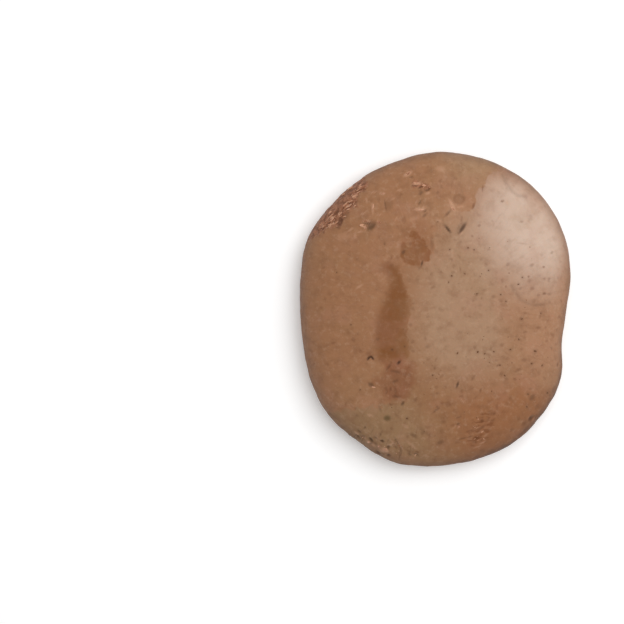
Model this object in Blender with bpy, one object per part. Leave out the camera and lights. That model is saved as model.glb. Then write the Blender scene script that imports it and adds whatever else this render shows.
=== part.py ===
"""Portobello mushroom: a whole cap with its stem cut off level with the rim.

One piece of flesh, lying as it rests on a table: skin up, gills down. Units are metres and +Z is up.
The origin is on the table under the middle of the cap, and +Y runs along the cap's longer side.
"""

import math

import bmesh
import bpy
from mathutils import Matrix, Vector

# Outline of the cap seen from above: distance from the origin to the edge every 15 degrees from +X.
RIM_RADII = (
    0.0511, 0.0546, 0.0580, 0.0603, 0.0613, 0.0614, 0.0611, 0.0595,
    0.0585, 0.0575, 0.0569, 0.0542, 0.0526, 0.0532, 0.0559, 0.0586,
    0.0597, 0.0618, 0.0612, 0.0607, 0.0603, 0.0585, 0.0561, 0.0511,
)
RIM_MEAN = sum(RIM_RADII) / len(RIM_RADII)

# Cap: a flattened dome over a rounded lip that turns in underneath
HEIGHT = 0.030
WIDEST_Z = 0.0070
SHOULDER = 2.4
CROWN_SHIFT = Vector((-0.0015, 0.0030, 0))
LIP_SHARE = 0.945
LIP_TURNS = (0, 30, 60, 90)
LIP_INNER_SHARE = 0.905
LIP_INNER_Z = 0.0034

# Lower side of the flesh, which the gills hang from: (share of the rim radius, height)
FLESH_BASE = ((0.885, 0.0088), (0.73, 0.0138), (0.33, 0.0158))

# The edge waves, so the cap touches the table at three low points, each on a column of the mesh.
LOW_PLACES = (math.radians(31.5), math.radians(148.5), math.radians(270))
LOW_PLACE_REACH = math.radians(12)
WAVE_HEIGHT = 0.0014
WAVE_STARTS = 0.0340

# Stem: a short stub, slightly oval, cut a hair above the table
STEM_CUT_Z = 0.0005
STEM_RADIUS = 0.0122
STEM_TOP_RADIUS = 0.0138
STEM_TOP_Z = 0.0145
STEM_FLARE_Z = 0.0065
STEM_OVAL = 0.06
STEM_OVAL_ANGLE = math.radians(70)
STEM_OVAL_ENDS = 0.0175

# Gills: each set holds (blades, share of the rim radius where they start, place of the first one)
GILL_SETS = ((40, 0.305, 0.0), (40, 0.44, 0.5), (80, 0.63, 0.5))
GILL_THICKNESS = 0.00072
GILL_END_SHARE = 0.912
GILL_ROOT_DEPTH = 0.0018
GILL_TUCK = 0.0006
GILL_BELLY_Z = 0.0036
GILL_ARCH = 0.0012
GILL_RISE = 0.085
GILL_RISE_MIDDLE = 0.030

COLUMNS = 80
DOME_ROWS = 8
MERGE_DISTANCE = 1e-6
SMOOTH_BELOW = math.radians(40)
SKIN_COLOUR = (0.37, 0.19, 0.10, 1)
SKIN_ROUGHNESS = 0.6
FULL_TURN = 2 * math.pi


def rim_radius(angle):
    """Distance from the origin to the cap's edge, on a smooth closed curve through RIM_RADII."""
    count = len(RIM_RADII)
    place = (angle / FULL_TURN * count) % count
    index = int(place)
    t = place - index
    a, b, c, d = (RIM_RADII[(index + k) % count] for k in (-1, 0, 1, 2))
    return b + 0.5 * t * (c - a + t * (2 * a - 5 * b + 4 * c - d + t * (3 * (b - c) + d - a)))


def smoothstep(low, high, value):
    """0 below low, 1 above high, and an even S between them."""
    t = min(1.0, max(0.0, (value - low) / (high - low)))
    return t * t * (3 - 2 * t)


def flesh_base_z(share):
    """Height of the flesh's lower side at a share of the rim radius."""
    stations = sorted(FLESH_BASE)
    share = min(max(share, stations[0][0]), stations[-1][0])
    for (low, z_low), (high, z_high) in zip(stations, stations[1:]):
        if share <= high:
            return z_low + (z_high - z_low) * (share - low) / (high - low)
    return stations[-1][1]


def gill_edge_z(share, start):
    """Height of a gill's free edge: it swings down out of the flesh at its inner end and runs level."""
    rise = 1 - smoothstep(start, start + GILL_RISE, share)
    level = GILL_BELLY_Z + GILL_ARCH * math.sin(math.pi * share)
    return level + (flesh_base_z(share) + GILL_TUCK - level) * rise


def cap_profile():
    """Half of the section, from the crown round the lip and under to the middle of the cut stem."""
    points = []
    for row in range(DOME_ROWS):
        share = math.sin(0.5 * math.pi * row / DOME_ROWS)
        drop = math.sqrt(1 - share**SHOULDER)
        points.append((share * RIM_MEAN, WIDEST_Z + (HEIGHT - WIDEST_Z) * drop))
    lip_radius = LIP_SHARE * RIM_MEAN
    for turn in LIP_TURNS:
        angle = math.radians(turn)
        out = (RIM_MEAN - lip_radius) * math.cos(angle)
        points.append((lip_radius + out, WIDEST_Z * (1 - math.sin(angle))))
    points.append((LIP_INNER_SHARE * RIM_MEAN, LIP_INNER_Z))
    points += [(share * RIM_MEAN, z) for share, z in FLESH_BASE]
    points += [(STEM_TOP_RADIUS, STEM_TOP_Z), (STEM_RADIUS, STEM_FLARE_Z)]
    points += [(STEM_RADIUS, STEM_CUT_Z), (0, STEM_CUT_Z)]
    return points


def edge_lift(angle):
    """How far the waved edge stands over the table: not at all at a low place, and most between two."""
    turns = [(angle - place) / FULL_TURN for place in LOW_PLACES]
    nearest = min(abs(turn - round(turn)) for turn in turns) * FULL_TURN
    return WAVE_HEIGHT * (1 - math.exp(-nearest / LOW_PLACE_REACH))


def shaped(point):
    """Moves a point of the round form to the cap's outline, oval stem, leaning crown and waved edge."""
    x, y, z = point
    radius = math.hypot(x, y)
    angle = math.atan2(y, x)
    outwards = smoothstep(STEM_TOP_RADIUS, RIM_MEAN, radius)
    inwards = 1 - smoothstep(STEM_TOP_RADIUS, STEM_OVAL_ENDS, radius)
    scale = 1 + outwards * (rim_radius(angle) / RIM_MEAN - 1)
    scale += inwards * STEM_OVAL * math.cos(2 * (angle - STEM_OVAL_ANGLE))
    lift = edge_lift(angle) * smoothstep(WAVE_STARTS, LIP_SHARE * RIM_MEAN, radius)
    lean = smoothstep(WIDEST_Z, HEIGHT, z) * (1 - (radius / RIM_MEAN) ** 2)
    return Vector((x * scale, y * scale, z + lift)) + CROWN_SHIFT * lean


def revolved_cap():
    """The flesh of the cap and the stem stub as one turned body."""
    bm = bmesh.new()
    profile = [bm.verts.new((radius, 0, z)) for radius, z in cap_profile()]
    edges = [bm.edges.new(pair) for pair in zip(profile, profile[1:])]
    bmesh.ops.spin(
        bm, geom=profile + edges, cent=(0, 0, 0), axis=(0, 0, 1), angle=FULL_TURN,
        steps=COLUMNS, use_merge=True, use_duplicate=False,
    )
    bmesh.ops.remove_doubles(bm, verts=bm.verts, dist=MERGE_DISTANCE)
    bmesh.ops.recalc_face_normals(bm, faces=bm.faces)
    return bm


def gill_outline(start):
    """A gill seen from its side: its free edge from the stem to the lip, then its root going back."""
    inner = [start, start + GILL_RISE_MIDDLE, start + GILL_RISE]
    middle = 0.5 * (inner[-1] + GILL_END_SHARE)
    shares = inner + [middle, GILL_END_SHARE]
    edge = [(share, gill_edge_z(share, start)) for share in shares]
    root = [(share, flesh_base_z(share) + GILL_ROOT_DEPTH) for share in (GILL_END_SHARE, middle, start)]
    return edge + root


def add_gill(bm, angle, start):
    """One blade, a thin plate standing on end along its radius."""
    half = 0.5 * GILL_THICKNESS
    corners = [bm.verts.new((share * RIM_MEAN, -half, z)) for share, z in gill_outline(start)]
    side = bm.faces.new(corners)
    grown = bmesh.ops.extrude_face_region(bm, geom=[side])["geom"]
    far = [part for part in grown if isinstance(part, bmesh.types.BMVert)]
    bmesh.ops.translate(bm, verts=far, vec=(0, GILL_THICKNESS, 0))
    bmesh.ops.rotate(bm, verts=corners + far, cent=(0, 0, 0), matrix=Matrix.Rotation(angle, 3, "Z"))


def gill_blades():
    """Every gill, long, middling and short, spread evenly round the stem."""
    bm = bmesh.new()
    for count, start, offset in GILL_SETS:
        for index in range(count):
            add_gill(bm, FULL_TURN * (index + offset) / count, start)
    bmesh.ops.recalc_face_normals(bm, faces=bm.faces)
    return bm


def as_object(bm, name):
    """Cuts every face into triangles, which stay flat when shaping moves their corners."""
    bmesh.ops.triangulate(bm, faces=bm.faces)
    for vert in bm.verts:
        vert.co = shaped(vert.co)
    mesh = bpy.data.meshes.new(name)
    bm.to_mesh(mesh)
    bm.free()
    obj = bpy.data.objects.new(name, mesh)
    bpy.context.scene.collection.objects.link(obj)
    return obj


def mushroom_skin():
    """Matt tan-brown skin."""
    material = bpy.data.materials.new("mushroom_skin")
    material.use_nodes = True
    shader = material.node_tree.nodes["Principled BSDF"]
    shader.inputs["Base Color"].default_value = SKIN_COLOUR
    shader.inputs["Roughness"].default_value = SKIN_ROUGHNESS
    shader.inputs["Metallic"].default_value = 0
    return material


def join_gills(cap, gills):
    """Fuses the blades to the flesh, and takes the loose blades out of the scene."""
    union = cap.modifiers.new("gills", "BOOLEAN")
    union.operation = "UNION"
    union.solver = "EXACT"
    union.object = gills
    fused = bpy.data.meshes.new_from_object(cap.evaluated_get(bpy.context.evaluated_depsgraph_get()))
    cap.modifiers.clear()
    cap.data = fused
    bpy.data.objects.remove(gills)


def main():
    """Clears the scene and builds the mushroom in it."""
    for obj in list(bpy.data.objects):
        bpy.data.objects.remove(obj)
    mushroom = as_object(revolved_cap(), "mushroom")
    join_gills(mushroom, as_object(gill_blades(), "gill_blades"))
    mushroom.data.name = "mushroom"
    mushroom.data.materials.clear()
    mushroom.data.materials.append(mushroom_skin())
    mushroom.data.shade_smooth()
    mushroom.data.set_sharp_from_angle(angle=SMOOTH_BELOW)


main()
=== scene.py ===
# %% [markdown]
# # A portobello mushroom
#
# One whole cap lies skin up on a pale table: a broad brown skin with a rolled edge, dark gills hidden
# beneath it, and a stem cut short. We look straight down on it from a metre above.
# Its true size and place come from the solid model, which is loaded first and never moved. Everything
# we add takes its measures from there.

import math
import random

import bmesh
import bpy
import numpy as np
from mathutils import Matrix, Vector, noise
from mathutils.bvhtree import BVHTree


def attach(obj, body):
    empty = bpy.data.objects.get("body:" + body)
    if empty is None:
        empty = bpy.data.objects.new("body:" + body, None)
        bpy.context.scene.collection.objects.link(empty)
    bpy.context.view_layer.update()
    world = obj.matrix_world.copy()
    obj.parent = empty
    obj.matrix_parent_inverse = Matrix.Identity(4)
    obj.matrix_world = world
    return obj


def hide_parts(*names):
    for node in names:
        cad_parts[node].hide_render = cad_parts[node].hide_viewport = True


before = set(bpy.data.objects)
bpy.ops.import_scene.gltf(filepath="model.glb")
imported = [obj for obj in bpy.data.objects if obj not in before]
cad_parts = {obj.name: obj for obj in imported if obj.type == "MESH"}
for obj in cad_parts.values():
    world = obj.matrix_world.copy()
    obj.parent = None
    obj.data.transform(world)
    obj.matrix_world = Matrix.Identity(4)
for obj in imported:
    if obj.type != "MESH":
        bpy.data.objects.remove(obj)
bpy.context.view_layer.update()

# %% [markdown]
# ## The camera
#
# The photograph was taken with a long lens from well above, so it has hardly any perspective. We say how
# many metres one pixel covers at the widest part of the cap, and work out the lens from that. The cap
# sits right of the middle of the picture, as it does in the photograph.

# %% Camera
PICTURE_PIXELS = 624
PIXEL = 0.00039
CAP_MIDDLE_PIXEL = (435, 309)
CAMERA_HEIGHT = 1.0
WIDEST_Z = 0.0070
SENSOR = 36.0
NEAREST_SEEN = 0.01


def add_object(name, data):
    """Puts a camera, a light or a mesh into the scene."""
    made = bpy.data.objects.new(name, data)
    bpy.context.scene.collection.objects.link(made)
    return made


def make_camera():
    """Looks straight down, with +X to the right of the picture and +Y up."""
    data = bpy.data.cameras.new("camera")
    data.sensor_width = SENSOR
    data.lens = SENSOR * CAMERA_HEIGHT / (PIXEL * PICTURE_PIXELS)
    data.clip_start = NEAREST_SEEN
    camera = add_object("camera", data)
    half = PICTURE_PIXELS / 2
    right = (half - CAP_MIDDLE_PIXEL[0]) * PIXEL
    up = (CAP_MIDDLE_PIXEL[1] - half) * PIXEL
    camera.location = (right, up, WIDEST_Z + CAMERA_HEIGHT)
    bpy.context.scene.camera = camera
    return camera


camera = make_camera()
print("lens", round(camera.data.lens, 1), "mm, camera at", [round(c, 4) for c in camera.location])

# %% [markdown]
# ## The form of the cap
#
# The solid model was drawn from a handful of driving sizes: how far the edge lies from the middle all
# the way round, how the section curves over the crown and round the lip, and how the edge waves over
# the table. We repeat those sizes here, because a smooth, fine skin has to follow the same form as the
# coarse solid that it stands for.

# %% Driving sizes
RIM_RADII = (
    0.0511, 0.0546, 0.0580, 0.0603, 0.0613, 0.0614, 0.0611, 0.0595,
    0.0585, 0.0575, 0.0569, 0.0542, 0.0526, 0.0532, 0.0559, 0.0586,
    0.0597, 0.0618, 0.0612, 0.0607, 0.0603, 0.0585, 0.0561, 0.0511,
)
RIM_MEAN = sum(RIM_RADII) / len(RIM_RADII)
HEIGHT = 0.030
SHOULDER = 2.4
CROWN_SHIFT = Vector((-0.0015, 0.0030, 0))
LIP_SHARE = 0.945
LIP_INSIDE_SHARE = 0.900
LIP_INSIDE_Z = 0.0050
FLESH_EDGE_SHARE = 0.885
FLESH_EDGE_Z = 0.0088
LOW_PLACES = (math.radians(31.5), math.radians(148.5), math.radians(270))
LOW_PLACE_REACH = math.radians(12)
WAVE_HEIGHT = 0.0014
WAVE_STARTS = 0.0340
STEM_RADIUS = 0.0122
STEM_TOP_RADIUS = 0.0138
STEM_CUT_Z = 0.0005
STEM_OVAL = 0.06
STEM_OVAL_ANGLE = math.radians(70)
STEM_OVAL_ENDS = 0.0175
FULL_TURN = 2 * math.pi
MM = 0.001
print("mean radius of the edge", round(RIM_MEAN / MM, 1), "mm")


# %% Where a point of the round form goes
def smoothstep(low, high, value):
    """0 below low, 1 above high, and an even S between them."""
    t = min(1.0, max(0.0, (value - low) / (high - low)))
    return t * t * (3 - 2 * t)


def rim_radius(angle):
    """Distance from the middle to the cap's edge, on a smooth closed curve through RIM_RADII."""
    count = len(RIM_RADII)
    place = (angle / FULL_TURN * count) % count
    index = int(place)
    t = place - index
    a, b, c, d = (RIM_RADII[(index + k) % count] for k in (-1, 0, 1, 2))
    return b + 0.5 * t * (c - a + t * (2 * a - 5 * b + 4 * c - d + t * (3 * (b - c) + d - a)))


def edge_lift(angle):
    """How far the waved edge stands over the table."""
    turns = [(angle - place) / FULL_TURN for place in LOW_PLACES]
    nearest = min(abs(turn - round(turn)) for turn in turns) * FULL_TURN
    return WAVE_HEIGHT * (1 - math.exp(-nearest / LOW_PLACE_REACH))


def shaped(radius, angle, z):
    """Moves a point of the round form to the cap's outline, oval stem, leaning crown and waved edge."""
    outwards = smoothstep(STEM_TOP_RADIUS, RIM_MEAN, radius)
    inwards = 1 - smoothstep(STEM_TOP_RADIUS, STEM_OVAL_ENDS, radius)
    scale = 1 + outwards * (rim_radius(angle) / RIM_MEAN - 1)
    scale += inwards * STEM_OVAL * math.cos(2 * (angle - STEM_OVAL_ANGLE))
    lift = edge_lift(angle) * smoothstep(WAVE_STARTS, LIP_SHARE * RIM_MEAN, radius)
    lean = smoothstep(WIDEST_Z, HEIGHT, z) * (1 - (radius / RIM_MEAN) ** 2)
    place = Vector((radius * scale * math.cos(angle), radius * scale * math.sin(angle), z + lift))
    return place + CROWN_SHIFT * lean


crown = shaped(0, 0, HEIGHT)
print("the crown stands at", [round(part / MM, 1) for part in crown], "mm")


# %% Noise for shapes
def rough(place, size, seed=0, octaves=2):
    """Smooth noise from -1 to 1 whose features are about size metres wide."""
    return noise.fractal(place / size + Vector((seed * 7.3, seed * 3.1, seed * 5.7)), 0.9, 2.1, octaves)


def rough_round(radius, angle, streaks, length, seed=0):
    """Noise drawn out along the radius: streaks is how many fit round the cap, length their length."""
    turn = streaks / FULL_TURN
    return noise.noise(Vector((math.cos(angle) * turn, math.sin(angle) * turn, radius / length + seed)))


print("noise 30 mm wide is", round(rough(crown, 0.030), 2), "at the crown")

# %% [markdown]
# ## Tools for meshes
#
# Each piece starts as a bmesh, which Blender's operators shape. One helper turns a finished bmesh into
# an object whose origin stays at the middle of the cap, gives it its finish and sets which body carries it.
# Two more do what several pieces need: a border grown on ring by ring, and blades given a thickness.

# %% Mesh helpers
def add_mesh(bm, name, material):
    """Turns a bmesh into an object of one material."""
    mesh = bpy.data.meshes.new(name)
    bm.to_mesh(mesh)
    bm.free()
    mesh.materials.append(material)
    return add_object(name, mesh)


def finished(bm, name, material, smooth_below=60):
    """Adds a piece of the mushroom. Faces that meet at less than smooth_below degrees look smooth."""
    piece = add_mesh(bm, name, material)
    mesh = piece.data
    mesh.shade_smooth()
    mesh.set_sharp_from_angle(angle=math.radians(smooth_below))
    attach(piece, "root")
    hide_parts("mushroom")
    triangles = sum(len(polygon.vertices) - 2 for polygon in mesh.polygons)
    print(f"{name}: {triangles} triangles, {len(mesh.vertices)} points")
    return piece


def grow_rings(bm, edges, rings, move):
    """Extrudes a border ring by ring, has move set each new point, and closes the last ring."""
    for share, z in rings:
        grown = bmesh.ops.extrude_edge_only(bm, edges=edges)["geom"]
        edges = [part for part in grown if isinstance(part, bmesh.types.BMEdge) and part.is_boundary]
        for part in grown:
            if isinstance(part, bmesh.types.BMVert):
                move(part, share, z)
    bmesh.ops.contextual_create(bm, geom=edges)


def thicken(bm, thickness):
    """Gives flat strips or blades a thickness."""
    bmesh.ops.recalc_face_normals(bm, faces=bm.faces)
    bmesh.ops.solidify(bm, geom=bm.faces, thickness=thickness)
    bmesh.ops.recalc_face_normals(bm, faces=bm.faces)


# %% [markdown]
# ## Shader maths as Python
#
# A procedural finish is mostly sums: mix this tone into that one where the noise is high. Writing each
# Math node by hand hides the idea, so a small class wraps a socket and turns + - * into Math nodes. Its
# one method for other nodes takes the node's type, its settings, and the values or links for its inputs.

# %% Shader helpers
class Wire:
    """One output socket in a material, with Python's arithmetic."""

    def __init__(self, tree, socket):
        self.tree = tree
        self.socket = socket

    def node(self, kind, settings=None, inputs=None, output=0):
        """Adds any node. Its settings come first, then its inputs, by name or number."""
        made = self.tree.nodes.new(kind)
        for name, value in (settings or {}).items():
            setattr(made, name, value)
        for key, value in (inputs or {}).items():
            connect(self.tree, made.inputs[key], value)
        return Wire(self.tree, made.outputs[output])

    def math(self, operation, a, b=0.0):
        return self.node("ShaderNodeMath", {"operation": operation}, {0: a, 1: b})

    def __add__(self, other):
        return self.math("ADD", self, other)

    __radd__ = __add__

    def __sub__(self, other):
        return self.math("SUBTRACT", self, other)

    def __rsub__(self, other):
        return self.math("SUBTRACT", other, self)

    def __mul__(self, other):
        return self.math("MULTIPLY", self, other)

    __rmul__ = __mul__


def connect(tree, socket, value):
    """Links a wire to a socket, or sets the socket to a plain value."""
    if isinstance(value, Wire):
        tree.links.new(value.socket, socket)
    else:
        socket.default_value = value


print("sockets can be added, subtracted and multiplied")


# %% Finish helpers
FLESH_SCATTER = (1.0, 0.45, 0.25)
WHITE = (1, 1, 1, 1)


def linear(red, green, blue):
    """A screen colour from 0 to 255 as the linear colour that a shader works in."""
    parts = [part / 255 for part in (red, green, blue)]
    return tuple(p / 12.92 if p <= 0.04045 else ((p + 0.055) / 1.055) ** 2.4 for p in parts) + (1,)


def set_inputs(shader, values):
    """Sets a shader's own sockets by name."""
    for name, value in values.items():
        shader.inputs[name].default_value = value


def new_finish(name, roughness, specular=0.2, subsurface=0.0, scatter=0.0):
    """A Principled material, its shader node, and a wire with the object's own coordinates in metres."""
    material = bpy.data.materials.new(name)
    material.use_nodes = True
    tree = material.node_tree
    shader = tree.nodes["Principled BSDF"]
    set_inputs(shader, {
        "Roughness": roughness, "Specular IOR Level": specular, "Subsurface Weight": subsurface,
        "Subsurface Radius": FLESH_SCATTER, "Subsurface Scale": scatter,
    })
    coordinates = tree.nodes.new("ShaderNodeTexCoord")
    return material, shader, Wire(tree, coordinates.outputs["Object"])


def noise_at(place, size, detail=2.0, roughness=0.5):
    """Noise from 0 to 1 with features about size metres wide."""
    inputs = {"Vector": place, "Scale": 1 / size, "Detail": detail, "Roughness": roughness}
    return place.node("ShaderNodeTexNoise", {"noise_dimensions": "3D"}, inputs)


def step(value, low, high):
    """A smooth step from 0 at low to 1 at high."""
    inputs = {"Value": value, "From Min": low, "From Max": high}
    return value.node("ShaderNodeMapRange", {"interpolation_type": "SMOOTHSTEP"}, inputs)


def mix(factor, a, b):
    """Colour a where the factor is 0 and b where it is 1."""
    settings = {"data_type": "RGBA", "clamp_factor": True}
    return factor.node("ShaderNodeMix", settings, {0: factor, 6: a, 7: b}, 2)


def patches(noise_wire, limits, a, b):
    """Screen colour a, with patches of b where the noise is high."""
    return mix(step(noise_wire, *limits), linear(*a), linear(*b))


def split(vector):
    """The x, y and z of a vector."""
    x = vector.node("ShaderNodeSeparateXYZ", {}, {0: vector})
    return [Wire(x.tree, output) for output in x.socket.node.outputs]


def painted(place, name):
    """A value that the mesh carries at its points under this name."""
    return place.node("ShaderNodeAttribute", {"attribute_name": name}, {}, "Fac")


def ragged(place, name, size, amount, soft):
    """A painted mark whose edge wanders: size is how wide its bays are, amount how deep they go."""
    wander = (noise_at(place, size, 3) - 0.5) * amount
    return step(painted(place, name) + wander, 0.5 - soft, 0.5 + soft)


def dress(shader, tone, height, depth):
    """Gives the shader its colour and its fine relief: depth is how many metres a height of 1 is."""
    connect(tone.tree, shader.inputs["Base Color"], tone)
    inputs = {"Height": height, "Strength": 1.0, "Distance": depth}
    connect(tone.tree, shader.inputs["Normal"], height.node("ShaderNodeBump", {}, inputs))


print("half of full brightness on a screen is", round(linear(128, 128, 128)[0], 2), "of full light")

# %% [markdown]
# ## Marks on the skin
#
# No two caps carry the same marks, and they are what makes this one itself. The skin is damp and darker
# over its left half, up to a scalloped tide line, with a long dark band and a darker blotch along that
# line. The upper right is dry and pale, and painted glare makes it paler still. The skin is torn at the
# upper left, scuffed at the lower right and pitted at the lower left. Small holes, scratches, dry patches
# and freckles lie between, and the plainest grains of peat each lie in a dark halo. Painted shade darkens
# the folds' creases and the gaps beside the torn strands, and is part of the holes' darkness.
#
# We list these one by one, in millimetres from the middle of the cap, and paint them on the points of the
# mesh. Only the faintest freckles are strewn by chance. A region holds 0.5 at its outline, more inside
# and less outside. Where its edge is sharp, the shader adds noise to that before it cuts it off, so the
# edge comes out ragged and finer than the mesh.

# %% Regions, as outlines in millimetres
DAMP = (
    (33, 64), (25.5, 54.4), (22.6, 52.6), (19.1, 49.8), (18, 47.1), (15.8, 46.3), (14.8, 43), (14.5, 40.4),
    (13.2, 38.5), (9.6, 37.2), (5.6, 37.8), (3.4, 35.4), (0.4, 34), (-1.4, 28.4), (-1.7, 23.1),
    (-3.2, 19.6), (-6.7, 15.9), (-10.4, 16.6), (-14, 15.4), (-13.6, 10.6), (-11.4, 8.4), (-11.1, 3.2),
    (-10.8, -2.2), (-11.2, -13), (-10.8, -18), (-13, -24), (-18, -36), (-60, -44), (-66, 10), (-50, 60),
)
BLOTCH = (
    (-14, 25.8), (-12.7, 25.6), (-11.5, 23.8), (-9.8, 23.4), (-9.8, 26), (-10.5, 28), (-10.5, 29.6),
    (-8.4, 28.9), (-6.9, 27.7), (-5.5, 27), (-5, 25), (-2.8, 22.3), (-3, 20), (-3.6, 18.4), (-5.7, 18.4),
    (-6.4, 16.2), (-7.5, 15.9), (-9.9, 16.5), (-13.5, 17.5), (-14.1, 21.6),
)
BLOTCH_ABOVE = (
    (-14.7, 28), (-12.2, 30.9), (-9.3, 32.1), (-7.3, 33.5), (-4.9, 33.6), (-3.4, 30.2), (-1.6, 23.1),
    (-9, 20),
)
BAND = (
    (-20.8, 15.2), (-20.6, 17.4), (-17.6, 17.6), (-15.2, 16.7), (-13.2, 12.4), (-12.2, 8.5), (-10.7, 6),
    (-10.8, -2), (-10.9, -18.6), (-14.1, -20), (-22.5, -19), (-24, -9), (-21.8, 0), (-18.8, 7), (-18, 13.6),
)
# the pale upper right is dry skin, with painted glare over it that makes it paler
PALE = ((26, 62), (18.5, 46), (16.5, 39), (17.5, 30), (23, 19), (33, 11), (44, 10), (64, 14), (60, 60))
TAN = (
    (-9, 14), (2, 36), (16, 34), (26, 14), (30, -2), (32, -16), (24, -25), (8, -29), (-3, -25), (-9, -18),
    (-11.5, -7), (-9.5, 2),
)
OLIVE = ((-36, -20), (-20, -25), (-8, -32), (0, -44), (2, -62), (-34, -62), (-54, -36))
TAWNY = ((2, 64), (4, 54), (9, 48), (16, 48), (23, 53), (28, 58), (24, 64))
ROSY = ((27, 10), (56, 8), (58, -10), (50, -34), (37, -31), (26, -18))
RUSTY = ((-21, -19), (-10, -21), (-8, -28), (-12, -34), (-18, -36), (-24, -29))
TORN_EDGE = (
    (-50, 26), (-48.5, 31), (-44.5, 37), (-39.8, 44), (-34.9, 50), (-27.4, 53), (-26.6, 47.3),
    (-29.6, 44.6), (-31, 39.6), (-33.9, 38), (-35.3, 34.6), (-37.9, 31.4), (-42.5, 31.4), (-46, 28.6),
)
FRINGE_LOW = ((-46.5, 29.5), (-43.5, 34), (-37.5, 38.2), (-35, 36.5), (-37, 32.6), (-41, 30.8))
FRINGE_HIGH = ((-37.6, 37.6), (-33.4, 43.2), (-27.4, 49.0), (-26.8, 47.0), (-30.2, 43.0), (-31.4, 39.4))
SCUFF = ((20.6, -40), (21.8, -44), (19.6, -50), (15.0, -52.6), (11.4, -51), (13.6, -43), (17.6, -40.2))
TUFT = ((-9.4, 48.6), (-6.0, 48.6), (-2.6, 47.2), (-3.0, 45.4), (-6.0, 46.4), (-9.0, 47.0))
PITTED = ((-33, -44), (-27, -45), (-18, -49), (-7, -55), (-9, -60), (-22, -60), (-36, -50))
REGIONS = {
    # name: (outlines, how many millimetres the painted value takes from 0.5 to 0 or 1)
    "damp": ((DAMP,), 3), "blotch": ((BLOTCH,), 2.5), "near_blotch": ((BLOTCH_ABOVE,), 4),
    "band": ((BAND,), 3.5), "pale": ((PALE,), 15), "tan": ((TAN,), 9), "olive": ((OLIVE,), 16),
    "rosy": ((ROSY,), 9), "rusty": ((RUSTY,), 4), "torn": ((TORN_EDGE, TUFT), 2),
    "scuffed": ((SCUFF,), 3), "pitted": ((PITTED,), 4), "tawny": ((TAWNY,), 9),
}
print(len(REGIONS), "kinds of region")

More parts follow.
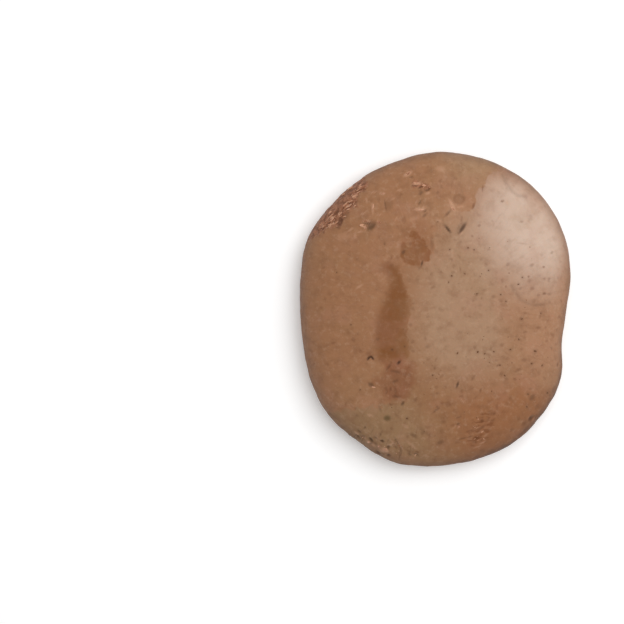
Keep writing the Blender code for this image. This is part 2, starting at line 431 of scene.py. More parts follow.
# %% Holes and scratches, in millimetres
HOLES = (
    # middle x, middle y, half length, half width, turn in degrees, depth, how dark it is
    # the darkness is partly painted shade in each hollow; at the torn edge, painted shadow beside its strands
    (-37.4, 33.8, 2.5, 1.1, 75, 0.22, 0.42), (-35.2, 35.6, 1.8, 1.2, 35, 0.1, 0.22),
    (-35.3, 39, 2, 0.35, 48, 0.25, 0.5), (-33.7, 40.4, 0.8, 0.45, 30, 0.22, 0.45),
    (-32.3, 40.6, 0.9, 0.4, 75, 0.22, 0.45), (-38.2, 37.3, 0.9, 0.5, 80, 0.22, 0.5),
    (-40.5, 37.9, 0.8, 0.35, 20, 0.2, 0.5), (-41.9, 33.3, 0.7, 0.35, 40, 0.2, 0.45),
    (-31, 46.6, 0.8, 0.4, 25, 0.2, 0.5), (-33.2, 46.1, 1.1, 0.5, 20, 0.2, 0.5),
    (-44.7, 30.9, 0.9, 0.4, 20, 0.22, 0.5), (-25.5, 31.8, 1.9, 1.2, 35, 0.6, 0.46),
    (-26.8, 32.8, 1.6, 0.35, -2, 0.2, 0.62), (3.9, 30.5, 1.7, 0.42, -52, 0.35, 0.85),
    (2.9, 31.7, 1, 0.5, -40, 0.1, 0.35), (9.5, 30.9, 2.3, 0.65, 56, 0.4, 0.75),
    (8.9, 31.3, 2.2, 1.2, 56, 0.08, 0.25), (3.9, 36.5, 1.6, 0.5, 45, 0.25, 0.42),
    (-19.9, 39.8, 2.1, 0.32, -81, 0.25, 0.42), (-18.8, 39.7, 2.2, 1.5, 80, 0.1, 0.2),
    (-5, 35.7, 1, 0.45, 39, 0.18, 0.38), (-4.7, 37.4, 0.7, 0.35, 45, 0.18, 0.42),
    (-6.7, 40.8, 0.9, 0.4, 63, 0.22, 0.45), (-6.1, 44.5, 1.1, 0.45, 30, 0.18, 0.38),
    (-3.6, 45.7, 1.1, 0.45, 30, 0.25, 0.52), (-6.4, 46.9, 0.9, 0.35, 31, 0.22, 0.48),
    (-8.7, 47.3, 1.1, 0.4, 0, 0.22, 0.42), (-9.8, 50.7, 0.8, 0.35, 0, 0.18, 0.42),
    (-2.2, 25.4, 2.7, 0.55, -86, 0.05, 0.26), (-13.1, 21.7, 0.9, 0.6, 50, 0.15, 0.5),
    (-6.1, 17.3, 1.1, 0.35, 74, 0.15, 0.65), (-14.8, -20.5, 0.9, 0.5, 40, 0.25, 0.85),
    (-26.3, -18.8, 1.1, 0.32, 50, 0.45, 1), (-25, -18.7, 0.9, 0.38, -52, 0.45, 1),
    (-16, -24, 2.1, 0.45, -8, 0.2, 0.35), (-18.8, -22.4, 1.4, 0.4, 55, 0.2, 0.35),
    (-16.2, -27.7, 1.3, 0.4, 20, 0.2, 0.35), (-15.8, -33.6, 1.5, 0.45, -8, 0.2, 0.4),
    (-25.5, -29.1, 1.2, 0.7, -30, 0.25, 0.5), (-13.3, -36.2, 0.8, 0.5, 60, 0.2, 0.65),
    (7.6, -29, 1.2, 0.4, 72, 0.2, 0.75), (-0.5, -38.8, 1.7, 0.35, 40, 0.15, 0.4),
    (8.4, -41.5, 1.2, 0.3, 0, 0.12, 0.35), (1.2, -51.3, 1.1, 0.8, 20, 0.12, 0.3),
    (-8.8, -48.8, 1.6, 0.5, -40, 0.1, 0.26), (-5, -47, 2.2, 0.6, -38, 0.08, 0.2),
    (8.1, -44.3, 0.7, 0.35, 10, 0.15, 0.6), (9.8, -49.7, 1.6, 0.3, 10, 0.15, 0.4),
    (-21.9, -38.4, 1.3, 0.4, -70, 0.1, 0.24), (-25.1, -50.5, 1.1, 0.45, -50, 0.35, 0.72),
    (-25.2, -51.9, 0.6, 0.45, 0, 0.2, 0.4), (-23.5, -49.6, 0.9, 0.28, -25, 0.2, 0.45),
    (-21, -50.9, 0.8, 0.38, -20, 0.4, 0.8), (-18.6, -53.2, 0.9, 0.6, 60, 0.3, 0.52),
    (-22.2, -55.7, 1.2, 0.4, -38, 0.3, 0.5), (-18.3, -56.5, 0.7, 0.4, 0, 0.25, 0.6),
    (-14.9, -51.6, 2.5, 0.32, -57, 0.22, 0.42), (-16, -52.5, 1.2, 0.4, -42, 0.2, 0.26),
    (-29.8, -47.2, 0.9, 0.28, -35, 0.2, 0.5), (-30, -49.4, 1.5, 0.32, -45, 0.22, 0.45),
    (-27.5, -45.6, 0.4, 0.35, 0, 0.15, 0.65), (-28, -49.1, 0.7, 0.4, -30, 0.15, 0.35),
    (-10.3, -56, 0.9, 0.45, -35, 0.15, 0.35), (-7.8, -56, 1.2, 0.4, -30, 0.25, 0.5),
    (36.8, -34.2, 1.4, 1, 50, 0.15, 0.38), (36.6, -42, 1.3, 0.7, 40, 0.25, 0.55),
)
print(len(HOLES), "holes and scratches")

# %% Dry patches, greenish spots, a bruise and folds, in millimetres
LIGHTS = (
    # middle x, middle y, half length, half width, turn in degrees, strength: skin that is lifted and dry
    (-11.1, 52, 1.7, 0.7, 29, 0.5), (-7.6, 48.2, 1.6, 0.45, 10, 0.55), (-3.6, 44.4, 0.9, 0.5, 14, 0.35),
    (-6.7, 38.1, 2.1, 0.45, 4, 0.48), (-5.6, 38.4, 0.9, 0.5, 55, 0.35), (-8, 41, 0.9, 0.4, 63, 0.25),
    (0.5, 33.7, 1.1, 0.5, -19, 0.35), (5.7, 39.6, 2.7, 0.65, -62, 0.5), (8.8, 39.1, 1.5, 0.35, 3, 0.35),
    (-24.7, 38.3, 2, 0.4, -88, 0.35), (-20.9, 44.3, 1.2, 0.35, 0, 0.4), (1.4, 54, 1.6, 1.1, 0, 0.25),
    (-27.1, 33.6, 1.7, 0.35, 5, 0.5), (-31.5, 28.1, 1.4, 0.4, -86, 0.35), (-35.9, 27.8, 2.8, 1.6, 20, 0.16),
    (-19.6, -54.4, 1.3, 0.7, -30, 0.75), (-25.9, -51.4, 1, 0.5, -40, 0.45), (-9, 34.5, 1.8, 0.8, 20, 0.2),
    (-14, -52.6, 2.2, 0.3, -57, 0.35), (-18, -52.3, 1, 0.4, 20, 0.45), (9, 28.8, 1, 0.4, 56, 0.3),
    (-30.6, -48.1, 1.2, 0.35, -45, 0.45), (-20.9, -54.6, 1.2, 0.5, -30, 0.45),
    (-30, 8.5, 1.6, 0.4, 35, 0.25), (-24.3, 44.8, 1.3, 0.3, 15, 0.3), (-27, 41.6, 1.2, 0.3, -75, 0.3),
    (-22, 36, 1, 0.3, 10, 0.3), (-28.4, 36.6, 1.2, 0.35, 20, 0.3), (-17, 42.2, 1.1, 0.35, 25, 0.25),
    (-15.8, 34.4, 1, 0.35, 60, 0.22), (-33.4, 30.4, 1.3, 0.4, 35, 0.3), (-29.4, 29.6, 1.1, 0.35, 15, 0.3),
    (-14.4, 45.6, 1.2, 0.3, 10, 0.25), (-16.6, -51.6, 1.8, 0.35, -50, 0.3),
    (-9.6, -52.4, 2.4, 0.5, -40, 0.22), (-25.6, -40.8, 1.4, 0.5, -15, 0.25),
    (-24.2, -52.6, 1, 0.45, -50, 0.3), (-27.4, -49.9, 0.9, 0.4, -50, 0.3),
    (-11.9, -45.1, 1.5, 0.5, -30, 0.2), (-21.9, -53, 0.8, 0.4, -40, 0.3), (8.2, -45.2, 0.8, 0.35, 70, 0.3),
    (16.9, -47, 1.2, 0.25, 25, 0.3), (19.1, -48.4, 1, 0.25, 30, 0.3), (17.5, -51.4, 1.3, 0.25, 15, 0.3),
    (15.5, -53.2, 1.5, 0.25, 10, 0.25), (9.4, -35, 1.6, 0.3, -50, 0.22), (6.6, -45.4, 1.3, 0.3, 40, 0.2),
    (37.5, -43, 0.9, 0.35, 45, 0.25), (6.8, 38, 6, 4, 80, 0.13),
)
# the same columns for greenish spots, and for a bruise, which has no strength
GREENS = ((-19.1, -41.9, 1.3, 1.0, 0, 0.85), (-25.2, 31.2, 1.7, 1.0, 40, 0.35))
BRUISE = (8.4, 42.1, 2.2, 1.9, 0)
FOLDS = (
    ((28.2, 8.9), (29.9, 6.0), (31.9, 3.5), (34.4, 2.1), (37.7, 1.3), (41.1, 1.7)),
    ((25.6, 51.8), (26.9, 48.8), (29.1, 45.4), (31.3, 43.7), (34.7, 43.5)),
)
# folds are pressed in, and painted shade darkens their creases
FOLD_DEPTH = 0.16
FOLD_SHADE = 0.18
LIGHT_HEIGHT = 0.25
print(len(LIGHTS), "dry patches and", len(FOLDS), "folds")

# %% Freckles, in millimetres
FRECKLES = (
    # middle x, middle y, half length, half width, turn in degrees, strength
    (26.8, 17, 0.8, 0.6, 70, 0.35), (36.2, 16.8, 0.9, 0.6, 25, 0.35), (40.9, 16.1, 0.5, 0.4, 0, 0.55),
    (34.9, 12.4, 0.4, 0.4, 0, 0.6), (26, 8.6, 0.4, 0.35, 0, 0.5), (36.2, 7.8, 0.8, 0.6, 0, 0.35),
    (31.6, 7.8, 0.7, 0.5, 40, 0.3), (41.1, 11.6, 0.5, 0.4, 0, 0.4), (43, 11.6, 0.5, 0.4, 0, 0.4),
    (41.1, 5.9, 0.8, 0.4, 15, 0.6), (43.2, 5.7, 0.8, 0.5, 0, 0.3), (38.7, 5.3, 0.7, 0.5, 0, 0.3),
    (21.3, 4.7, 0.8, 0.6, 0, 0.3), (17.9, 7.2, 0.7, 0.5, 0, 0.25), (14.8, 5.5, 0.9, 0.45, 50, 0.35),
    (33.4, -1.5, 0.9, 0.5, 0, 0.3), (38.8, -7.2, 1, 0.45, 0, 0.4), (33.7, -8.8, 0.7, 0.5, -10, 0.4),
    (41.7, -7.2, 0.6, 0.4, 90, 0.3), (24.5, -13.8, 0.8, 0.7, 45, 0.35), (32.2, -15.4, 0.6, 0.5, 0, 0.3),
    (42.1, -12.3, 0.6, 0.5, 0, 0.3), (33.3, -19.5, 1.1, 0.7, 0, 0.35), (26.5, -18.9, 0.7, 0.6, 0, 0.3),
    (22.5, -19.7, 0.7, 0.4, 0, 0.3), (22.9, -21.6, 0.5, 0.4, 0, 0.55), (31.3, -23.2, 0.7, 0.45, 0, 0.45),
    (24.4, -25, 0.8, 0.5, -25, 0.5), (29.6, -26.8, 0.6, 0.4, -50, 0.6), (41.4, -26.7, 0.9, 0.4, -60, 0.3),
    (13.7, -26.3, 1.1, 0.45, 48, 0.4), (13.2, -30.4, 0.8, 0.6, 0, 0.3), (16.5, -31.2, 0.7, 0.35, 50, 0.6),
    (35.9, -30.6, 0.6, 0.4, 0, 0.4), (46.7, -21.5, 0.7, 0.35, 85, 0.6), (14.2, -14.8, 0.7, 0.5, -40, 0.5),
    (19.5, -17.5, 0.9, 0.5, -20, 0.35), (-4.7, -11.2, 0.8, 0.5, 90, 0.3), (-3.9, -14.4, 0.9, 0.6, 0, 0.3),
    (-9.5, -12.5, 0.7, 0.5, 60, 0.3), (-9.4, -16.1, 0.8, 0.4, 0, 0.3), (-1.2, -22.7, 0.6, 0.4, 80, 0.5),
    (6.6, -22.3, 0.8, 0.6, 0, 0.3), (1.7, -25.6, 1.1, 0.45, 40, 0.3), (-0.5, -29.9, 0.7, 0.5, 0, 0.3),
    (9.2, -31.5, 0.7, 0.5, 0, 0.45), (9.1, -33.4, 0.8, 0.5, 0, 0.35), (14.5, -34.1, 0.8, 0.4, 0, 0.3),
    (1.8, -36, 0.8, 0.6, 0, 0.4), (4.2, -36.4, 1.5, 1, 0, 0.4), (-0.1, -37.4, 0.9, 0.35, -38, 0.45),
    (-8.5, -35, 1.1, 0.7, 50, 0.3), (-12.7, -25.1, 0.9, 0.6, 0, 0.3), (-18, -30.7, 0.8, 0.4, 80, 0.55),
    (-16.1, -31.2, 1.7, 0.6, -80, 0.35), (-19.4, -31.9, 1.1, 0.4, 60, 0.35),
    (-17.7, -36.6, 0.8, 0.3, 0, 0.6), (-15.2, -41.1, 1.4, 0.4, -40, 0.25), (3.5, -41.7, 1.3, 0.3, 0, 0.25),
    (6.1, -44.6, 0.9, 0.35, 10, 0.35), (2.5, -43.2, 0.9, 0.7, 0, 0.3), (-9.1, -48.5, 1.4, 0.6, -20, 0.35),
    (-3.5, -45.3, 1.3, 0.5, 0, 0.25), (-5.6, -47.7, 0.7, 0.6, 0, 0.35), (17, -37.4, 2, 0.6, 0, 0.3),
    (22.9, -37.3, 0.5, 0.9, 0, 0.35), (20, -35.5, 1, 0.6, 0, 0.25), (21.5, -40.1, 0.9, 0.35, 10, 0.55),
    (17.2, -42.8, 0.8, 0.6, 0, 0.6), (21.4, -42.8, 1.2, 0.4, 30, 0.5), (17, -45.7, 1.8, 0.5, 35, 0.55),
    (12.9, -46.8, 1.7, 0.4, 3, 0.5), (15.2, -49.6, 1.3, 0.8, 20, 0.6), (25.1, 41.4, 0.7, 0.35, 10, 0.6),
    (16, 31.9, 0.5, 0.4, 0, 0.5), (13.2, 27.8, 0.4, 0.35, 0, 0.55), (19.4, 22.7, 0.5, 0.4, 0, 0.35),
    (13.9, 39.6, 1.3, 0.4, 75, 0.5), (17.6, 46.4, 1.2, 0.35, 85, 0.5), (9.2, 34.4, 1, 0.35, 85, 0.35),
    (32.3, 25.1, 2, 0.3, -8, 0.2), (38.5, -41.6, 1, 0.7, 50, 0.45), (36.5, -42.6, 0.9, 0.6, 40, 0.6),
    (33.7, -44.1, 1.2, 0.7, 45, 0.4), (34.4, -47.1, 1.6, 0.6, 45, 0.4), (32.8, -48.7, 1.3, 0.6, 45, 0.5),
    (29, -52.4, 1.4, 0.7, 35, 0.45), (26.8, -53.4, 1.1, 0.6, 30, 0.4), (31.6, -42.2, 0.8, 0.7, 60, 0.3),
    (28.9, -46.6, 0.7, 0.5, 20, 0.45), (26.7, -36.4, 1.2, 0.4, 0, 0.25), (25.6, -39.5, 1.5, 0.4, 0, 0.3),
    (38.8, -37.7, 1.4, 0.5, 60, 0.3), (45.8, -30.9, 1.5, 0.7, 60, 0.3), (17.8, -54.8, 1, 0.7, 0, 0.35),
    (15.7, -57.5, 1.2, 0.6, 20, 0.45), (-15.9, -53.1, 1, 0.35, -45, 0.4),
    (-10.9, -54.6, 1.3, 0.35, -28, 0.4), (-7.4, -55, 0.9, 0.4, -20, 0.5),
    (-23.4, -51.8, 0.8, 0.5, -40, 0.45), (-28.6, -49.4, 0.9, 0.4, -45, 0.45),
    (-22.4, -56, 1, 0.5, -30, 0.5), (-3.2, -47.8, 1.4, 0.6, -50, 0.22), (12.8, -49.2, 1, 0.35, 25, 0.5),
    (8.2, -51.1, 1.5, 0.35, 10, 0.35), (19.7, -42.4, 0.9, 0.4, 45, 0.35), (14.5, -51, 1, 0.4, -30, 0.45),
    (17.9, -50.2, 1.2, 0.35, 25, 0.5),
)
FRECKLE_DEPTH = 0.10
FRECKLE_SEED = 31
FAINT_FRECKLES = 150
FAINT_REACH = 0.95
FAINT_SIZES = (0.4, 1.0)
FAINT_NARROWNESS = (0.4, 0.9)
FAINT_STRENGTHS = (0.12, 0.32)


def strewn_freckles():
    """Fainter freckles all over the cap, placed by a seeded draw."""
    dice = random.Random(FRECKLE_SEED)
    freckles = []
    for _ in range(FAINT_FRECKLES):
        angle = dice.uniform(0, FULL_TURN)
        reach = FAINT_REACH * math.sqrt(dice.random()) * rim_radius(angle) / MM
        size = dice.uniform(*FAINT_SIZES)
        narrow = size * dice.uniform(*FAINT_NARROWNESS)
        turn, strength = dice.uniform(0, 180), dice.uniform(*FAINT_STRENGTHS)
        freckles.append((reach * math.cos(angle), reach * math.sin(angle), size, narrow, turn, strength))
    return tuple(freckles)


FRECKLES += strewn_freckles()
print(len(FRECKLES), "freckles")

# %% Peat grains: x, y and size of the plainest ones
GRAINS = (
    (5.3, 12.6, 0.8), (7.5, -16.9, 0.7), (15.3, -16.4, 0.9), (18, -17.1, 0.7), (21.5, -16.3, 0.7),
    (19.4, 14.7, 0.7), (11.6, 23.3, 0.7), (4.6, 22.7, 0.6), (30.9, 9.4, 0.7), (32.5, 12.1, 0.6),
    (24.1, 5.5, 0.6), (26.1, 2.9, 0.6), (32.4, -3.8, 0.8), (31.1, -11.6, 0.7), (27.9, -15.5, 0.8),
    (37.6, -16.2, 1), (36.2, -20.9, 0.8), (40.4, -21.7, 0.7), (23.9, -21.5, 0.7), (25.8, -25.5, 0.7),
    (42.9, -32.4, 0.8), (35, -32.7, 0.7), (34.7, -37.6, 0.8), (-17.4, -15.5, 0.7), (-11.5, -42, 0.8),
    (-1.9, -25.3, 0.7), (-12.6, -14.3, 0.5), (39.8, -1.7, 0.6), (0.1, 33.3, 0.5), (4.1, 10.2, 0.6),
    (10.3, 13.4, 0.5), (14.9, 5.8, 0.6), (13.9, 22.6, 0.5), (-20.2, 24.8, 0.5), (-33, -6, 0.6),
    (-38.5, 14, 0.5), (-29.5, -31, 0.6),
)
HALO_SHARE = 0.85
HALO_DARKNESS = 0.30
print(len(GRAINS), "listed grains")


# %% Distances from lines, outlines and spots, in millimetres
def line_distance(points, line):
    """Distance of each point from a line through these corners."""
    corners = np.array(line, dtype=float)
    nearest = np.full(len(points), np.inf)
    for a, b in zip(corners, corners[1:]):
        side = b - a
        along = np.clip((points - a) @ side / (side @ side), 0, 1)
        nearest = np.minimum(nearest, np.linalg.norm(points - a - along[:, None] * side, axis=1))
    return nearest


def outline_distance(points, outline):
    """Distance of each point from a closed outline, positive inside it."""
    closed = outline + outline[:1]
    inside = np.zeros(len(points), dtype=bool)
    for (x, y), (next_x, next_y) in zip(closed, closed[1:]):
        if y == next_y:
            continue
        between = (y > points[:, 1]) != (next_y > points[:, 1])
        crossing = x + (points[:, 1] - y) * (next_x - x) / (next_y - y)
        inside ^= between & (points[:, 0] < crossing)
    distance = line_distance(points, closed)
    return np.where(inside, distance, -distance)


def spot_reach(points, x, y, half_length, half_width, degrees):
    """How many of its own half sizes each point lies from the middle of an oval spot."""
    turn = math.radians(degrees)
    away = points - np.array((x, y))
    along = away @ np.array((math.cos(turn), math.sin(turn))) / half_length
    across = away @ np.array((-math.sin(turn), math.cos(turn))) / half_width
    return np.hypot(along, across)


print("the middle lies", round(outline_distance(np.zeros((1, 2)), TAN)[0], 1), "mm inside the tan region")

# %% How strongly a mark shows at the points of the mesh
SPOT_FALL = 0.7
FOLD_WIDTH = 0.7
HOLE_LIP_SHARE = 0.22
HOLE_LIP_REACH = 1.5
HOLE_LIP_WIDTH = 0.35
BRUISE_MIDDLE = 0.6
BRUISE_RING = 0.4
BRUISE_RING_REACH = 0.9
BRUISE_RING_WIDTH = 0.25


def region_value(points, outlines, reach):
    """0.5 on the outline of a region, rising to 1 inside and falling to 0 outside."""
    distance = np.max([outline_distance(points, outline) for outline in outlines], axis=0)
    return np.clip(0.5 + 0.5 * distance / reach, 0, 1)


def disc(reach, fall=SPOT_FALL):
    """1 in the middle of a spot, soft at its edge and 0 beyond it."""
    return np.exp(-fall * reach**4)


def ridge(reach, middle, width):
    """1 where the reach is the middle one, falling to 0 over about twice the width."""
    return np.exp(-(((reach - middle) / width) ** 2))


def strongest(points, spots):
    """The strongest of some spots at each point."""
    return np.max([strength * disc(spot_reach(points, *oval)) for *oval, strength in spots], axis=0)


def dark_marks(points):
    """How dark the folds, halos and holes are at each point, partly as painted shade, and how deep in mm."""
    fold = np.max([ridge(line_distance(points, line), 0, FOLD_WIDTH) for line in FOLDS], axis=0)
    darkness, depth = FOLD_SHADE * fold, FOLD_DEPTH * fold
    for x, y, size in GRAINS:
        halo = ridge(spot_reach(points, x, y, size, size, 0), 0, HALO_SHARE)
        darkness = np.maximum(darkness, HALO_DARKNESS * halo)
    for *oval, hole_depth, hole_darkness in HOLES:
        reach = spot_reach(points, *oval)
        darkness = np.maximum(darkness, hole_darkness * disc(reach))
        depth += hole_depth * (disc(reach) - HOLE_LIP_SHARE * ridge(reach, HOLE_LIP_REACH, HOLE_LIP_WIDTH))
    return darkness, depth


def marks_at(points):
    """Every painted value, and the depth in millimetres that the marks are pressed in, at each point."""
    values = {name: region_value(points, *region) for name, region in REGIONS.items()}
    values["holes_and_shade"], depth = dark_marks(points)
    for name, spots in (("light", LIGHTS), ("green", GREENS), ("freckle", FRECKLES)):
        values[name] = strongest(points, spots)
    depth += FRECKLE_DEPTH * values["freckle"] - LIGHT_HEIGHT * values["light"]
    reach = spot_reach(points, *BRUISE)
    ring = ridge(reach, BRUISE_RING_REACH, BRUISE_RING_WIDTH)
    values["bruise"] = BRUISE_MIDDLE * disc(reach, 1) + BRUISE_RING * ring
    return values, depth


middle_marks = marks_at(np.zeros((1, 2)))[0]
print("painted at the middle:", [name for name, value in middle_marks.items() if value[0] > 0.5])

# %% [markdown]
# ## The skin
#
# The skin covers the crown, rolls round the lip and ends inside it. It could be spun from a profile, but
# then its faces crowd together at the crown and grow long at the edge. A square grid wrapped onto a disc
# keeps them nearly even, so fine relief comes out equally sharp everywhere. Each ring of the grid becomes
# one ring of the cap, at its own distance along the section.
#
# The relief is pressed in along the normals: low swells that no real cap is without, fine wrinkles at
# the lip, threads that run out from the middle, torn patches sunk below the skin, and the listed marks.

# %% Section of the skin
CROWN_STEPS = 240
LIP_STEPS = 40


def skin_section():
    """Closely spaced points from the crown to the flesh inside the lip, with their place along it."""
    points = []
    for turn in np.linspace(0, math.pi / 2, CROWN_STEPS):
        share = math.sin(turn)
        drop = math.sqrt(max(0.0, 1 - share**SHOULDER))
        points.append((share, WIDEST_Z + (HEIGHT - WIDEST_Z) * drop))
    for turn in np.linspace(0, math.pi / 2, LIP_STEPS)[1:]:
        points.append((LIP_SHARE + (1 - LIP_SHARE) * math.cos(turn), WIDEST_Z * (1 - math.sin(turn))))
    for turn in np.linspace(0, math.pi / 2, LIP_STEPS)[1:]:
        inward = (LIP_SHARE - LIP_INSIDE_SHARE) * math.sin(turn)
        points.append((LIP_SHARE - inward, LIP_INSIDE_Z * (1 - math.cos(turn))))
    points.append((FLESH_EDGE_SHARE, FLESH_EDGE_Z))
    points = np.array(points)
    steps = np.hypot(np.diff(points[:, 0]) * RIM_MEAN, np.diff(points[:, 1]))
    return points, np.concatenate([[0], np.cumsum(steps)])


SECTION, SECTION_LENGTH = skin_section()
print("the skin's section is", round(SECTION_LENGTH[-1] / MM, 1), "mm long")


def section_at(part):
    """Share of the rim radius and height at a part, from 0 to 1, of the way along the section."""
    length = part * SECTION_LENGTH[-1]
    return (float(np.interp(length, SECTION_LENGTH, SECTION[:, k])) for k in (0, 1))


def grid_ring(x, y):
    """Ring, from 0 to 1, and angle of a grid point, so that square rings become round ones."""
    ring = max(abs(x), abs(y))
    if ring == 0:
        return 0.0, 0.0
    if abs(x) >= abs(y):
        return ring, math.pi / 4 * y / x + (math.pi if x < 0 else 0)
    return ring, math.pi / 2 - math.pi / 4 * x / y + (math.pi if y < 0 else 0)


# %% Relief of the skin: heights in millimetres, sizes in metres
SWELL_HEIGHT = 0.50
SWELL_SIZE = 0.030
SWELL_ENDS = 0.93
BUCKLE_HEIGHT = 0.12
BUCKLE_SIZE = 0.0075
NEAR_LIP = (0.55, 0.97)
THREAD_HEIGHT = 0.05
THREADS_ROUND = 190
THREAD_LENGTH = 0.012
PUCKER_HEIGHT = 0.16
PUCKERS_ROUND = 70
PUCKER_LENGTH = 0.02
TORN_DEPTH = 0.22
TORN_HEIGHT = 0.26
TORN_SIZE = 0.0026
POCK_HEIGHT = 0.16
POCK_SIZE = 0.0022
PUCKERS_START = (0.90, 1.0)
TORN_STARTS = (0.4, 0.7)
POCKS_START = (0.3, 0.8)


def skin_relief(place, share, angle, torn, pitted):
    """How far the skin stands out of the plain form at a point, in metres."""
    radius = share * RIM_MEAN
    near_lip = smoothstep(*NEAR_LIP, share)
    swell = SWELL_HEIGHT * rough(place, SWELL_SIZE, 4) * (1 - smoothstep(SWELL_ENDS, 1.0, share))
    buckle = BUCKLE_HEIGHT * rough(place, BUCKLE_SIZE, 5) * (0.4 + 0.6 * near_lip)
    threads = THREAD_HEIGHT * rough_round(radius, angle, THREADS_ROUND, THREAD_LENGTH) * (0.15 + near_lip)
    pucker = PUCKER_HEIGHT * rough_round(radius, angle, PUCKERS_ROUND, PUCKER_LENGTH, 9)
    frayed = TORN_HEIGHT * rough(place, TORN_SIZE, 6, 3) - TORN_DEPTH
    pocked = POCK_HEIGHT * rough(place, POCK_SIZE, 7, 2)
    relief = swell + buckle + threads + pucker * smoothstep(*PUCKERS_START, share)
    relief += frayed * smoothstep(*TORN_STARTS, torn) + pocked * smoothstep(*POCKS_START, pitted)
    return relief * MM


print("the relief at the crown is", round(skin_relief(crown, 0, 0, 0, 0) / MM, 2), "mm")

# %% [markdown]
# ## The skin's finish
#
# A portobello's skin is matt, tan to chestnut, and never one colour. Under the fine grain there are broad
# drifts of pink-brown and yellow-brown, threads that run outwards, and a mottle the size of a lentil.
# Under that lie the regions: tan in the middle, rosy at the right, olive at the lower left, pale at the
# upper right from dry skin and painted glare, then the damp side with its band and blotch. Torn places
# show red-brown flesh, and painted shade darkens the very edge. All of it is noise and the values that
# the mesh's points carry, so it follows the mushroom wherever it is seen from.

# %% Broad tones of the skin
CHESTNUT = linear(153, 103, 68)
TONES = {
    "tan": linear(170, 134, 105), "rosy": linear(168, 124, 93), "olive": linear(153, 118, 85),
    "rusty": linear(138, 86, 56), "pale": linear(207, 180, 161), "damp": linear(162, 115, 81),
    "blotch": linear(136, 84, 45), "band": linear(130, 80, 40), "tawny": linear(168, 136, 104),
    "near_blotch": linear(136, 84, 45),
}
TAN_STRENGTH = 0.95
# pale: dry skin at the upper right, made paler still by painted glare
ALL_OVER = {"rosy": 0.1, "olive": 0.1, "pale": 0.02}
ON_DAMP_SKIN = {"tawny": (0.1, 0.6), "band": (0.15, 1.0), "near_blotch": (0.2, 0.42)}


def broad_tones(place):
    """The slow drift of tone over the whole cap, and how damp it is. A margin is where a tone starts."""
    tone = mix(painted(place, "tan") * TAN_STRENGTH, CHESTNUT, TONES["tan"])
    for name, margin in ALL_OVER.items():
        tone = mix(step(painted(place, name), margin, 1 - margin), tone, TONES[name])
    damp = ragged(place, "damp", 0.0045, 1.1, 0.09)
    tone = mix(damp * 0.90, tone, TONES["damp"])
    for name, (margin, strength) in ON_DAMP_SKIN.items():
        tone = mix(step(painted(place, name), margin, 1 - margin) * damp * strength, tone, TONES[name])
    tone = mix(ragged(place, "blotch", 0.003, 0.7, 0.10), tone, TONES["blotch"])
    return mix(ragged(place, "rusty", 0.006, 1.4, 0.3) * 0.8, tone, TONES["rusty"]), damp


print(len(TONES), "broad tones over chestnut")

# %% Threads and fine tones of the skin
DRIFTS = (
    # size of the noise, where its patches start and are full, strength, screen colour
    (0.016, (0.45, 0.68), 0.22, (158, 120, 84)), (0.011, (0.50, 0.70), 0.20, (176, 126, 104)),
)
SPOT_CELL = 0.0058
THREAD_TURN = 0.042
THREAD_REACH = 0.14
THREADS_START = (0.012, 0.040)


def thread_places(place):
    """Coordinates drawn out along the radius, so that noise on them becomes threads, and where they show."""
    flat = place.node("ShaderNodeVectorMath", {"operation": "MULTIPLY"}, {0: place, 1: (1, 1, 0)})
    outward = flat.node("ShaderNodeVectorMath", {"operation": "NORMALIZE"}, {0: flat})
    reach = flat.node("ShaderNodeVectorMath", {"operation": "LENGTH"}, {0: flat}, "Value")
    east, north = split(outward)[:2]
    inputs = {"X": east * THREAD_TURN, "Y": north * THREAD_TURN, "Z": reach * THREAD_REACH}
    return place.node("ShaderNodeCombineXYZ", {}, inputs), step(reach, *THREADS_START)


def fine_tones(place, tone, threads):
    """Adds drifts of yellow and pink, a mottle, faint threads and soft brown spots."""
    for size, limits, strength, colour in DRIFTS:
        tone = mix(step(noise_at(place, size, 3), *limits) * strength, tone, linear(*colour))
    # less mottle shows through the dry skin and painted glare of the pale upper right
    uneven = 1 - painted(place, "pale") * 0.65
    mottle = step(noise_at(place, 0.0042, 4, 0.65), 0.42, 0.75)
    tone = mix(mottle * uneven * 0.38, tone, linear(126, 85, 57))
    lights = step(noise_at(place, 0.0020, 4, 0.65), 0.48, 0.75)
    tone = mix(lights * (0.21 - painted(place, "band") * 0.13), tone, linear(206, 168, 140))
    tone = mix(threads * uneven * 0.14, tone, linear(122, 82, 56))
    inputs = {"Vector": place, "Scale": 1 / SPOT_CELL}
    nearest = place.node("ShaderNodeTexVoronoi", {"voronoi_dimensions": "3D"}, inputs, "Distance")
    spots = 1 - step(nearest + noise_at(place, 0.0011, 3) * 0.42, 0.20, 0.40)
    return mix(spots * uneven * 0.35, tone, linear(108, 70, 44))


print("soft brown spots about", round(SPOT_CELL / MM, 1), "mm apart")

# %% Finish of the whole skin
MARK_TONES = {
    # painted value: screen colour, in the order in which they lie over each other
    # the last is partly painted shade in hollows and creases, and beside the torn strands
    "freckle": (100, 59, 34), "light": (216, 168, 138), "green": (98, 76, 46), "holes_and_shade": (56, 33, 19),
}


